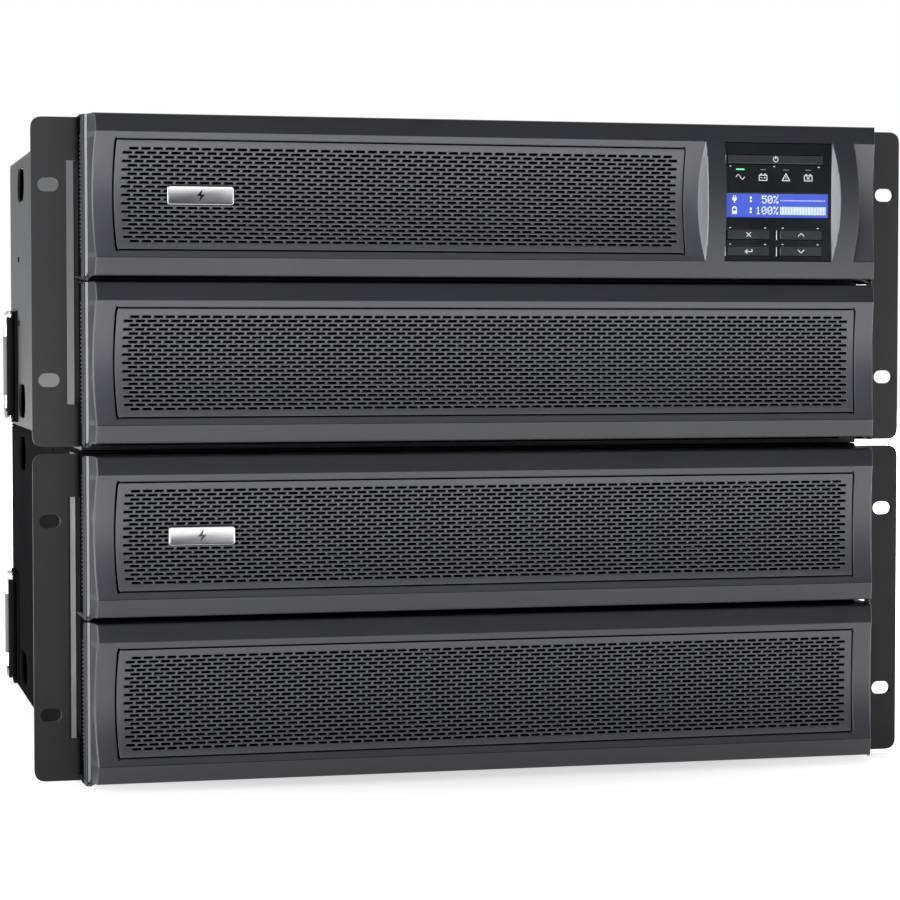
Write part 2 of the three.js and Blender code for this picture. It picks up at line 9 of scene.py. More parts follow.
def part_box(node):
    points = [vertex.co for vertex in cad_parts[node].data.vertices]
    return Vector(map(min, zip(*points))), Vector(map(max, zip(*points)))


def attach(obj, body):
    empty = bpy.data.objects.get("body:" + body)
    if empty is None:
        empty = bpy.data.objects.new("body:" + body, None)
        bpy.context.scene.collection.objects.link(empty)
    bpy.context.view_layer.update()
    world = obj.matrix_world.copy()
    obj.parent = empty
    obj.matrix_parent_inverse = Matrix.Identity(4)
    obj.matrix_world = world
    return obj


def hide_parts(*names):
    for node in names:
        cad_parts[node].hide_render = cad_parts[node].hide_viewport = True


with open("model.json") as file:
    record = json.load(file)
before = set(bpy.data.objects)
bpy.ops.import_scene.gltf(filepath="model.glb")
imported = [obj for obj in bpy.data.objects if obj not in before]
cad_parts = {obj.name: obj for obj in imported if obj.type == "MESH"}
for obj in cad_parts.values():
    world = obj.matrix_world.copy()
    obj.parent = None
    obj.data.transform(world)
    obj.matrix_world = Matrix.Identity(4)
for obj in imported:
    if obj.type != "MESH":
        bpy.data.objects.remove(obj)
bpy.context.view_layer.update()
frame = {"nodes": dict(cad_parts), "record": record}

mm = 0.001
mergeGap = 0.01 * mm
upright = Vector((0, 0, 1))
scene = bpy.context.scene
scene.view_settings.view_transform = "Standard"
bodyOf = {node: body for body, members in frame["record"]["behaviour"]["bodies"].items() for node in members}
slotOf = {part["node"]: part["material_slot"] for part in frame["record"]["subparts"]}

# planes of the frame that the pieces are set out from, in millimetres
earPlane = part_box("ups_left_ear")[0].y / mm
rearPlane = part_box("ups_rear_panel")[1].y / mm
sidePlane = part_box("ups_chassis")[1].x / mm


# shader groups that several finishes share
def startGroup(name, inputs, outputs):
    group = bpy.data.node_groups.new(name, "ShaderNodeTree")
    for socketName, value in inputs.items():
        socket = group.interface.new_socket(name=socketName, in_out="INPUT", socket_type="NodeSocketFloat")
        socket.default_value = value
    for socketName in outputs:
        group.interface.new_socket(name=socketName, in_out="OUTPUT", socket_type="NodeSocketFloat")
    add = group.nodes.new
    return group, add("NodeGroupInput"), add("NodeGroupOutput"), add("ShaderNodeTexCoord")


def makeGrainGroup():
    group, entry, leave, place = startGroup("surfaceGrain", {"Grain Scale": 900, "Cloud Scale": 9}, ("Height", "Tone"))
    link = group.links.new
    fine = group.nodes.new("ShaderNodeTexNoise")
    fine.inputs["Detail"].default_value = 3
    cells = group.nodes.new("ShaderNodeTexVoronoi")
    cloud = group.nodes.new("ShaderNodeTexNoise")
    cloud.inputs["Detail"].default_value = 5
    mix = group.nodes.new("ShaderNodeMath")
    mix.operation = "MULTIPLY_ADD"
    mix.inputs[1].default_value = 0.5
    for texture in (fine, cells, cloud):
        link(place.outputs["Object"], texture.inputs["Vector"])
    link(entry.outputs["Grain Scale"], fine.inputs["Scale"])
    link(entry.outputs["Grain Scale"], cells.inputs["Scale"])
    link(entry.outputs["Cloud Scale"], cloud.inputs["Scale"])
    link(cells.outputs["Distance"], mix.inputs[0])
    link(fine.outputs["Fac"], mix.inputs[2])
    link(mix.outputs[0], leave.inputs["Height"])
    link(cloud.outputs["Fac"], leave.inputs["Tone"])
    return group


def makeSmudgeGroup():
    group, entry, leave, place = startGroup("handlingSmudge", {"Scale": 28}, ("Mask",))
    link = group.links.new
    noise = group.nodes.new("ShaderNodeTexNoise")
    noise.inputs["Detail"].default_value = 8
    noise.inputs["Roughness"].default_value = 0.65
    ramp = group.nodes.new("ShaderNodeValToRGB")
    ramp.color_ramp.elements[0].position = 0.45
    ramp.color_ramp.elements[1].position = 0.7
    link(place.outputs["Object"], noise.inputs["Vector"])
    link(entry.outputs["Scale"], noise.inputs["Scale"])
    link(noise.outputs["Fac"], ramp.inputs["Fac"])
    link(ramp.outputs["Color"], leave.inputs["Mask"])
    return group


grainGroup = makeGrainGroup()
smudgeGroup = makeSmudgeGroup()


def finish(name, tone, deeper, roughness, metallic=0.0, grain=900, bump=0.12, smudge=0.06, gloss=0.5):
    made = bpy.data.materials.new(name)
    made.use_nodes = True
    tree = made.node_tree
    link = tree.links.new
    surface = tree.nodes["Principled BSDF"]
    surface.inputs["Metallic"].default_value = metallic
    surface.inputs["Specular IOR Level"].default_value = gloss
    texture = tree.nodes.new("ShaderNodeGroup")
    texture.node_tree = grainGroup
    texture.inputs["Grain Scale"].default_value = grain
    hands = tree.nodes.new("ShaderNodeGroup")
    hands.node_tree = smudgeGroup
    blend = tree.nodes.new("ShaderNodeMix")    # its colour sockets are inputs 6 and 7 and output 2
    blend.data_type = "RGBA"
    blend.inputs[6].default_value = (*deeper, 1)
    blend.inputs[7].default_value = (*tone, 1)
    polish = tree.nodes.new("ShaderNodeMapRange")
    polish.inputs["To Min"].default_value = roughness + smudge
    polish.inputs["To Max"].default_value = roughness - smudge
    relief = tree.nodes.new("ShaderNodeBump")
    relief.inputs["Strength"].default_value = bump
    relief.inputs["Distance"].default_value = 0.1 * mm
    link(texture.outputs["Tone"], blend.inputs[0])
    link(blend.outputs[2], surface.inputs["Base Color"])
    link(hands.outputs["Mask"], polish.inputs["Value"])
    link(polish.outputs["Result"], surface.inputs["Roughness"])
    link(texture.outputs["Height"], relief.inputs["Height"])
    link(relief.outputs["Normal"], surface.inputs["Normal"])
    return made


def glowing(name, tone, deeper, strength, roughness=0.3):
    made = finish(name, tone, deeper, roughness, bump=0.02, smudge=0.03)
    tree = made.node_tree
    surface = tree.nodes["Principled BSDF"]
    blend = next(node for node in tree.nodes if node.type == "MIX")
    tree.links.new(blend.outputs[2], surface.inputs["Emission Color"])
    surface.inputs["Emission Strength"].default_value = strength
    return made


def brushed(name, tone, deeper, roughness, stretch):
    made = finish(name, tone, deeper, roughness, metallic=1.0, grain=260, bump=0.08, smudge=0.05)
    tree = made.node_tree
    place = tree.nodes.new("ShaderNodeTexCoord")
    turn = tree.nodes.new("ShaderNodeMapping")
    turn.inputs["Scale"].default_value = stretch
    lines = tree.nodes.new("ShaderNodeTexNoise")
    lines.inputs["Scale"].default_value = 40
    relief = next(node for node in tree.nodes if node.type == "BUMP")
    tree.links.new(place.outputs["Object"], turn.inputs["Vector"])
    tree.links.new(turn.outputs["Vector"], lines.inputs["Vector"])
    tree.links.new(lines.outputs["Fac"], relief.inputs["Height"])
    return made


looks = {
    "ups_coat": finish("upsCoat", (0.0125, 0.0128, 0.0134), (0.0115, 0.0118, 0.0124), 0.47, grain=1500, bump=0.3,
                       smudge=0.015, gloss=0.3),
    # pack_coat is the same paint as ups_coat made darker and duller: painted shade on the lower unit
    "pack_coat": finish("packCoat", (0.012, 0.012, 0.0127), (0.008, 0.008, 0.0086), 0.7, grain=1500, bump=0.3,
                        smudge=0.02, gloss=0.0),
    "ear_coat": finish("earCoat", (0.022, 0.0223, 0.0235), (0.0195, 0.0198, 0.021), 0.5, grain=1500, bump=0.25,
                       smudge=0.02, gloss=0.3),
    "bezel_plastic": finish("bezelPlastic", (0.0205, 0.021, 0.0242), (0.0175, 0.018, 0.0212), 0.34, grain=1300,
                            bump=0.2, smudge=0.04),
    "grille_plastic": finish("grillePlastic", (0.060, 0.0606, 0.0675), (0.053, 0.0536, 0.0605), 0.36, grain=1300,
                             bump=0.2, smudge=0.04),
    "display_black": finish("displayBlack", (0.006, 0.0075, 0.0085), (0.004, 0.005, 0.006), 0.16, bump=0.02,
                            smudge=0.04),
    "key_plastic": finish("keyPlastic", (0.014, 0.0155, 0.0165), (0.011, 0.0125, 0.0135), 0.27, grain=1300,
                          bump=0.08, smudge=0.05),
    "screen_blue": glowing("screenBlue", (0.050, 0.082, 0.42), (0.042, 0.070, 0.38), 0.55, 0.15),
    "circuit_green": finish("circuitGreen", (0.02, 0.14, 0.05), (0.012, 0.1, 0.035), 0.4, grain=500, bump=0.2),
    "zinc_steel": finish("zincSteel", (0.36, 0.37, 0.385), (0.26, 0.27, 0.285), 0.4, metallic=1.0, grain=180,
                         bump=0.05),
    "battery_case": finish("batteryCase", (0.026, 0.027, 0.031), (0.018, 0.019, 0.022), 0.55, grain=800, bump=0.2),
    "winding_steel": finish("windingSteel", (0.20, 0.15, 0.10), (0.12, 0.09, 0.06), 0.5, metallic=0.6, grain=300,
                            bump=0.3),
    "aluminium": brushed("extrudedAluminium", (0.70, 0.70, 0.72), (0.60, 0.60, 0.62), 0.33, (40, 1, 40)),
    "fan_black": finish("fanBlack", (0.017, 0.017, 0.019), (0.012, 0.012, 0.013), 0.45, bump=0.15),
    "socket_black": finish("socketBlack", (0.012, 0.012, 0.013), (0.008, 0.008, 0.009), 0.4, bump=0.15),
    "chrome": finish("chromePlate", (0.66, 0.66, 0.68), (0.58, 0.58, 0.60), 0.14, metallic=1.0, grain=400,
                     bump=0.01, smudge=0.04),
    "badge_silver": brushed("badgeSilver", (0.52, 0.52, 0.54), (0.45, 0.45, 0.47), 0.3, (1, 40, 40)),
}
gripRubber = finish("gripRubber", (0.16, 0.16, 0.165), (0.13, 0.13, 0.135), 0.5, grain=1200, bump=0.3)
# near-black, dull copy of the bezel plastic for the bezel's side skirts: painted shade
paintedShadeSkirt = finish("paintedShadeSkirt", (0.006, 0.006, 0.0065), (0.004, 0.004, 0.0045), 0.7, grain=1500, bump=0.3,
                    smudge=0.05, gloss=0.0)
# a darker copy of ear_coat for the lower unit's ears: painted shade
shadedLowerEarCoat = finish("shadedLowerEarCoat", (0.013, 0.0132, 0.014), (0.010, 0.0102, 0.011), 0.5, grain=1500, bump=0.25,
                      smudge=0.05, gloss=0.3)
# a lighter, glossier copy of the pack paint for its rear panel, without pack_coat's painted shade
packRearCoat = finish("packRearCoat", (0.018, 0.018, 0.019), (0.014, 0.014, 0.0148), 0.5, grain=1500, bump=0.3,
                      smudge=0.05, gloss=0.4)
# lighter copy of the bezel plastic for the hollow band: painted light, the hollow lit brighter than the crown
paintedLightHollowPlastic = finish("paintedLightHollowPlastic", (0.049, 0.0496, 0.0555), (0.043, 0.0436, 0.0495), 0.34, grain=1300,
                       bump=0.2, smudge=0.04)
# bright copy of the bezel plastic for the display island's slanted walls and the sloped rim: painted highlight in place
# of reflections
paintedSheenTrim = finish("paintedSheenTrim", (0.15, 0.155, 0.165), (0.12, 0.125, 0.135), 0.3, grain=1300, bump=0.1, smudge=0.04)
# near-black colour: painted shade behind the grilles and on the grille slots' walls
paintedShadeBlack = finish("paintedShadeBlack", (0.003, 0.003, 0.003), (0.0015, 0.0015, 0.0015), 0.95, grain=1500, bump=0.6,
                   smudge=0.02, gloss=0.0)
# white print given a painted glow, though no lamp lights it; the same white makes the painted key glints
paintedGlowAndGlintWhite = glowing("paintedGlowAndGlintWhite", (0.56, 0.58, 0.60), (0.49, 0.51, 0.53), 0.3)
screenMarks = glowing("screenMarks", (0.62, 0.70, 0.92), (0.54, 0.62, 0.86), 0.55)
lampGreen = glowing("lampGreen", (0.08, 0.72, 0.34), (0.05, 0.60, 0.28), 1.1)
lampDim = finish("lampDim", (0.16, 0.17, 0.175), (0.13, 0.14, 0.145), 0.4)
print("finishes ready")


# bmesh helpers
def span(node):
    return [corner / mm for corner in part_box(node)]


def middleOf(node):
    low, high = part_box(node)
    return (low + high) / 2 / mm


def turnTo(direction):
    return upright.rotation_difference(Vector(direction)).to_matrix().to_4x4()


def vertsIn(geom):
    return [item for item in geom if isinstance(item, bmesh.types.BMVert)]


def openEdgesIn(geom):
    return [item for item in geom if isinstance(item, bmesh.types.BMEdge) and item.is_boundary]


def extrudeEdges(bm, edges):
    return openEdgesIn(bmesh.ops.extrude_edge_only(bm, edges=edges)["geom"])


def edgesOf(verts):
    return list({edge for vert in verts for edge in vert.link_edges})


def vertsOf(edges):
    return {vert for edge in edges for vert in edge.verts}


def publish(name, bm, look, body, creaseAngle=32, replaces=None, outward=True):
    mesh = bpy.data.meshes.new(name)
    if outward:
        bmesh.ops.recalc_face_normals(bm, faces=bm.faces[:])
    bm.to_mesh(mesh)
    bm.free()
    mesh.shade_smooth()
    mesh.set_sharp_from_angle(angle=math.radians(creaseAngle))
    made = bpy.data.objects.new(name, mesh)
    scene.collection.objects.link(made)
    mesh.materials.append(look)
    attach(made, body)
    if replaces:
        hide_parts(replaces)
    return made


def bevelEdges(bm, edges, offset, segments=2):
    bmesh.ops.bevel(bm, geom=edges, offset=offset * mm, affect="EDGES", segments=segments, profile=0.5, material=-1,
                    clamp_overlap=True)


def addBlock(bm, low, high, bevel=0.0, segments=2):
    size = [b - a for a, b in zip(low, high)]
    middle = [(a + b) / 2 for a, b in zip(low, high)]
    place = Matrix.Translation(Vector(middle) * mm) @ Matrix.Diagonal((*[s * mm for s in size], 1))
    made = bmesh.ops.create_cube(bm, size=1, matrix=place)["verts"]
    if bevel:
        bevelEdges(bm, edgesOf(made), bevel, segments)


def addStroke(bm, points, width, face, thickness=0.14):
    for start, end in zip(points, points[1:]):
        run = end[0] - start[0]
        rise = end[1] - start[1]
        place = Matrix.Translation(Vector(((start[0] + end[0]) / 2, face, (start[1] + end[1]) / 2)) * mm)
        place @= Matrix.Rotation(-math.atan2(rise, run), 4, "Y")
        place @= Matrix.Diagonal(((math.hypot(run, rise) + width * 0.5) * mm, thickness * mm, width * mm, 1))
        bmesh.ops.create_cube(bm, size=1, matrix=place)


def addRod(bm, centre, axis, radius, length, sides=24, bevel=0.0):
    place = Matrix.Translation(Vector(centre) * mm) @ turnTo(axis)
    made = bmesh.ops.create_cone(bm, cap_ends=True, segments=sides, radius1=radius * mm, radius2=radius * mm,
                                 depth=length * mm, matrix=place)["verts"]
    if bevel:
        bevelEdges(bm, [edge for edge in edgesOf(made) if any(len(face.verts) > 4 for face in edge.link_faces)], bevel)


# a screw or rivet head: its taper, rounded rim, and recess are shares of its radius and height
head = {"sides": 18, "taper": 0.86, "round": 0.3, "recessRim": 0.45, "recessDepth": 0.6}


def addScrew(bm, centre, outward, radius, height):
    place = Matrix.Translation((Vector(centre) + Vector(outward) * height / 2) * mm) @ turnTo(outward)
    made = bmesh.ops.create_cone(bm, cap_ends=True, segments=head["sides"], radius1=radius * mm,
                                 radius2=radius * head["taper"] * mm, depth=height * mm, matrix=place)["verts"]
    top = max({face for vert in made for face in vert.link_faces},
              key=lambda face: face.calc_center_median().dot(Vector(outward)))
    bevelEdges(bm, list(top.edges), height * head["round"])
    near = [face for face in bm.faces if len(face.verts) == head["sides"]]
    top = max(near, key=lambda face: (face.calc_center_median() / mm - Vector(centre)).length < radius * 2
              and face.calc_center_median().dot(Vector(outward)) / mm)
    bmesh.ops.inset_individual(bm, faces=[top], thickness=radius * head["recessRim"] * mm)
    sunk = bmesh.ops.extrude_face_region(bm, geom=[top])["geom"]
    bmesh.ops.delete(bm, geom=[top], context="FACES")
    bmesh.ops.translate(bm, verts=vertsIn(sunk), vec=Vector(outward) * -head["recessDepth"] * height * mm)


def sweep(bm, points, radius, sides):
    path = [Vector(point) * mm for point in points]
    along = (path[1] - path[0]).normalized()
    ring = bmesh.ops.create_circle(bm, cap_ends=True, segments=sides, radius=radius * mm,
                                   matrix=Matrix.Translation(path[0]) @ turnTo(along))["verts"]
    edges = edgesOf(ring)
    for index in range(1, len(path)):
        after = path[index + 1] if index < len(path) - 1 else path[index] * 2 - path[index - 1]
        heading = ((after - path[index]).normalized() + (path[index] - path[index - 1]).normalized()).normalized()
        grown = bmesh.ops.extrude_edge_only(bm, edges=edges)["geom"]
        verts = vertsIn(grown)
        edges = openEdgesIn(grown)
        move = Matrix.Translation(path[index]) @ along.rotation_difference(heading).to_matrix().to_4x4()
        move @= Matrix.Translation(-path[index - 1])
        bmesh.ops.transform(bm, matrix=move, verts=verts)
        along = heading
    bmesh.ops.holes_fill(bm, edges=edges, sides=sides)


# front bezels: a crowned face with a hollow band along it
bezel = {
    "crown": 190.0, "crownFront": -39.0, "hollow": 96.4, "hollowDepth": 8.4, "band": 9.3,
    "frontHalf": 211.3, "flare": 0.24, "rootHalf": 214.7, "skirtHalf": 216.9, "skirtFront": -24.4,
    "skirtBack": -0.6, "edgeRound": 0.9, "windowRound": 0.55, "windowCorner": 2.2, "wall": 2.2,
    "grilleWindow": 201.5, "windowHalf": 28.45, "windowBow": 1.2, "bowReach": 3, "flareStart": 206,
    "columns": 34, "rows": 24, "bandRows": 4, "bandEnd": 1.5, "windowWall": 2.4, "wallStop": -33.6,
    "hollowEnd": 213.4, "crease": 28,
}
display = {"islandLeft": 114.8, "islandRight": 199.4, "left": 125.5, "right": 187.1, "grilleRight": 104.1,
           "islandWall": 3.1, "islandBow": 2.8, "ramp": 1.6, "rampStart": 105.0, "scoop": 3.4, "scoopFloor": -34.9,
           "lip": 0.16, "lipRun": 0.7, "scoopLip": 0.5, "scoopRun": 1.0, "scoopReach": 1.5}
cornerShares = (0.35, 0.7, 1)
close = 0.05    # stations nearer than about this count as one


def crownDepth(dz):
    return bezel["crownFront"] + bezel["crown"] - math.sqrt(bezel["crown"] ** 2 - dz ** 2)


def hollowDepth(dz):
    centre = bezel["crownFront"] + bezel["hollowDepth"] - bezel["hollow"]
    return centre + math.sqrt(bezel["hollow"] ** 2 - dz ** 2)


# how far a rounded edge falls back at a distance in from the edge
def roundOver(distance, radius):
    if distance >= radius:
        return 0.0
    return radius - math.sqrt(radius ** 2 - (radius - max(distance, 0.0)) ** 2)


def softEdges(first, last, inward, radius):
    return [edge + way * inward * radius * share for edge, way in ((first, 1), (last, -1))
            for share in (0.0, 0.1, 0.3, 0.6, 1.0)]


def spread(first, last, count):
    return [first + (last - first) * step / count for step in range(count + 1)]


def tidyStations(values):
    kept = []
    for value in sorted(values):
        if not kept or value - kept[-1] > 0.9 * close:
            kept.append(value)
    return kept


# moves a grid point near a window's square corner onto a rounded one
def roundedCorner(x, z, left, right, reach, radius, border):
    side = 1 if x > (left + right) / 2 else -1
    outer = right if side > 0 else left
    u = side * x - side * outer + radius
    v = abs(z) - reach + radius
    if u <= 0 or v <= 0:
        return x, z
    size = max(u, v)
    turn = math.radians(45) * min(u, v) / size
    share = 1 if size < radius + border else max(0.0, 1 - (size - radius - border) / 4)
    long = size * math.cos(turn)
    short = size * math.sin(turn)
    roundU, roundV = (long, short) if u >= v else (short, long)
    return (x + side * (roundU - u) * share, z + math.copysign((roundV - v) * share, z))


def makeBezel(name, node, left, right, island):
    low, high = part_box(node)
    centreZ = (low.z + high.z) / 2 / mm
    half = (high.z - low.z) / 2 / mm
    zone = half - bezel["band"]
    corner = bezel["windowCorner"]
    across = softEdges(-bezel["frontHalf"], bezel["frontHalf"], 1, bezel["edgeRound"])
    across += spread(-bezel["flareStart"], bezel["flareStart"], bezel["columns"])
    across += softEdges(left, right, -1, bezel["windowRound"])
    across += [edge + side * corner * share for edge, side in ((left, 1), (right, -1)) for share in cornerShares]
    up = softEdges(-half, half, 1, bezel["edgeRound"])
    up += softEdges(-bezel["windowHalf"], bezel["windowHalf"], -1, bezel["windowRound"])
    up += [side * (bezel["windowHalf"] - corner * share) for side in (-1, 1) for share in cornerShares]
    bandEnd = half - bezel["bandEnd"]
    up += spread(-zone, zone, bezel["rows"])
    up += spread(zone, bandEnd, bezel["bandRows"]) + spread(-zone, -bandEnd, bezel["bandRows"])
    up += [sign * (zone + nudge) for sign in (-1, 1) for nudge in (-0.35, -0.12, 0.12, 0.35)]
    if island:
        across += [display[key] for key in ("islandLeft", "islandRight", "left", "right")]
        across += [display["islandLeft"] + nudge for nudge in (-0.12, 0.1, 0.3, 0.7)]
        across += [display["islandRight"] + nudge for nudge in (-0.7, -0.3, -0.1, 0.12)]
        across += [display["right"] + nudge for nudge in (0.12, 0.3, 0.6, 1.0)]
    across = tidyStations(across)
    up = tidyStations(up)

    def climb(x):
        start = display["rampStart"]
        return (x - start) / (display["islandLeft"] - start) if island and start < x < display["islandLeft"] else 0.0

    def surface(x, dz):
        y = crownDepth(dz)
        if abs(dz) < zone:
            sunk = hollowDepth(dz) - y
            sunk -= display["ramp"] * climb(x) ** 2 * (1 - (dz / zone) ** 2)
            if island and display["islandLeft"] <= x <= display["islandRight"]:
                inside = min(x - display["islandLeft"], display["islandRight"] - x)
                sunk *= display["lip"] * max(0.0, 1 - inside / display["lipRun"]) ** 2
                past = x - display["right"]
                if abs(past) < close:
                    sunk = (display["scoopFloor"] - y) * (1 - (dz / zone) ** 4)
                elif 0 < past < display["scoopRun"]:
                    sunk += display["scoopLip"] * (1 - past) ** 2 * (1 - (dz / zone) ** 4)
            y += sunk
        return y

    def bow(x, dz, y):
        flare = bezel["flare"] * (y - bezel["crownFront"])
        start = bezel["flareStart"]
        if abs(x) > start:
            return math.copysign(flare * min(1.0, (abs(x) - start) / (bezel["frontHalf"] - start)), x)
        if abs(dz) >= zone:
            return 0.0
        swell = 1 - (dz / zone) ** 2
        if climb(x):
            return -display["islandWall"] * climb(x) * swell
        if island and abs(x - display["islandRight"]) < 1.0:
            return display["islandBow"] * swell
        if island and close < x - display["right"] < display["scoopReach"]:
            return display["scoop"] * swell
        if abs(abs(x) - bezel["grilleWindow"]) < bezel["bowReach"] and (not island or x < 0):
            return math.copysign(bezel["windowBow"], x) * swell
        return 0.0

    def rounding(x, dz):
        drop = roundOver(min(bezel["frontHalf"] - abs(x), half - abs(dz)), bezel["edgeRound"])
        outside = max(left - x, x - right, abs(dz) - bezel["windowHalf"])
        return drop + roundOver(outside, bezel["windowRound"])

    bm = bmesh.new()
    bmesh.ops.create_grid(bm, x_segments=len(across) - 1, y_segments=len(up) - 1, size=1)
    station = {}
    for vert in bm.verts:
        i = round((vert.co.x + 1) / 2 * (len(across) - 1))
        j = round((vert.co.y + 1) / 2 * (len(up) - 1))
        station[vert] = (i, j)
        x = across[i]
        dz = up[j]
        depth = surface(x, dz)
        placedX, placedZ = roundedCorner(x, dz, left, right, bezel["windowHalf"], corner, bezel["windowRound"] + close)
        vert.co = Vector((placedX + bow(x, dz, depth), earPlane + depth + rounding(x, dz), centreZ + placedZ)) * mm

    openings = [(left, right, bezel["windowHalf"])]
    if island:
        openings.append((display["left"], display["right"], zone))
    doomed = []
    for face in bm.faces:
        x = sum(across[station[v][0]] for v in face.verts) / 4
        dz = sum(up[station[v][1]] for v in face.verts) / 4
        if any(first < x < last and abs(dz) < reach for first, last, reach in openings):
            doomed.append(face)
    border = {v for v in bm.verts if station[v][0] in (0, len(across) - 1) or station[v][1] in (0, len(up) - 1)}
    bmesh.ops.delete(bm, geom=doomed, context="FACES")

    # window walls run straight back into the shell
    inner = [edge for edge in bm.edges if edge.is_boundary and not border.issuperset(edge.verts)]
    for vert in vertsIn(bmesh.ops.extrude_edge_only(bm, edges=inner)["geom"]):
        vert.co.y = max(vert.co.y + bezel["windowWall"] * mm, (earPlane + bezel["wallStop"]) * mm)

    # the outside runs back to a sloped rim with a groove, then a plain skirt
    root = bezel["skirtFront"]
    rim = bezel["skirtHalf"]
    outline = [(bezel["rootHalf"] - 0.1, root + 0.25), (bezel["rootHalf"], root), (rim - 0.9, root + 0.85),
               (rim - 0.8, root + 1.8), (rim - 0.55, root + 1.8), (rim - 0.45, root + 1.15), (rim, root + 1.8),
               (rim, bezel["skirtBack"])]
    edges = [edge for edge in bm.edges if edge.is_boundary and border.issuperset(edge.verts)]
    for step, (reach, sideY) in enumerate(outline):
        edges = extrudeEdges(bm, edges)
        capY = root + step * 0.35 if step < len(outline) - 1 else sideY
        for vert in vertsOf(edges):
            if abs(vert.co.x / mm) > bezel["frontHalf"] - 0.4:
                vert.co.x = math.copysign(reach * mm, vert.co.x)
                vert.co.y = (earPlane + sideY) * mm
            else:
                vert.co.y = (earPlane + capY) * mm
    # faces take painted light and shade: a near-black copy on the side skirts, a lighter copy on the hollow, a bright
    # copy on slanted walls and the rim
    paintedShadeSkirtIndex, paintedLightHollowIndex, paintedSheenIndex = 1, 2, 3
    for face in bm.faces:
        middle = face.calc_center_median() / mm
        dz = middle.z - centreZ
        inside = abs(dz) < zone and middle.y < earPlane + root - 2
        slanted = abs(face.normal.x) > 0.45
        if abs(middle.x) > rim - 0.02 and middle.y > earPlane + root + 2:
            face.material_index = paintedShadeSkirtIndex
        elif island and inside and slanted and display["rampStart"] < middle.x < display["islandRight"] - 4:
            face.material_index = paintedSheenIndex
        elif abs(middle.x) > bezel["rootHalf"] and middle.y < earPlane + root + 1:
            face.material_index = paintedSheenIndex
        elif inside and abs(middle.x) < bezel["hollowEnd"] and middle.y > earPlane + crownDepth(dz) + 0.35:
            face.material_index = paintedLightHollowIndex
    made = publish(name, bm, looks["bezel_plastic"], bodyOf[node], bezel["crease"], node)
    for extra in (paintedShadeSkirt, paintedLightHollowPlastic, paintedSheenTrim):
        made.data.materials.append(extra)
    shell = made.modifiers.new("shell", "SOLIDIFY")
    shell.thickness = bezel["wall"] * mm
    shell.offset = -1


# the four fronts: unit, bay, and the right end of the grille window
fronts = (("ups", "display", display["grilleRight"]), ("ups", "battery", bezel["grilleWindow"]),
          ("pack", "upper", bezel["grilleWindow"]), ("pack", "lower", bezel["grilleWindow"]))
for unit, bay, right in fronts:
    makeBezel(unit + bay.title() + "BezelShell", f"{unit}_{bay}_bezel", -bezel["grilleWindow"], right, bay == "display")
print("bezels ready")


# slotted grilles: rows of obround slots, every other row staggered by half a pitch
slots = {"pairs": 11, "rowPitch": 2.146, "width": 4.85, "height": 1.26, "corner": 0.36, "thickness": 1.0,
         "halfHeight": 27.75, "edgeRound": 0.35, "gap": 0.7, "cornerCuts": 5, "crease": 25,
         "row": (6.08, 64), "displayRow": (6.21, 47)}    # pitch along a row, and slots in a short row
roundSteps = ((0.7, 0.08), (0.3, 0.27))    # the rounded rim: share of edgeRound outwards, then drop


def ringOf(bm, points):
    ring = bmesh.ops.create_circle(bm, cap_ends=False, segments=len(points), radius=1)["verts"]
    for vert, (x, z) in zip(ring, points):
        vert.co = Vector((x, 0, z)) * mm
    return edgesOf(ring)


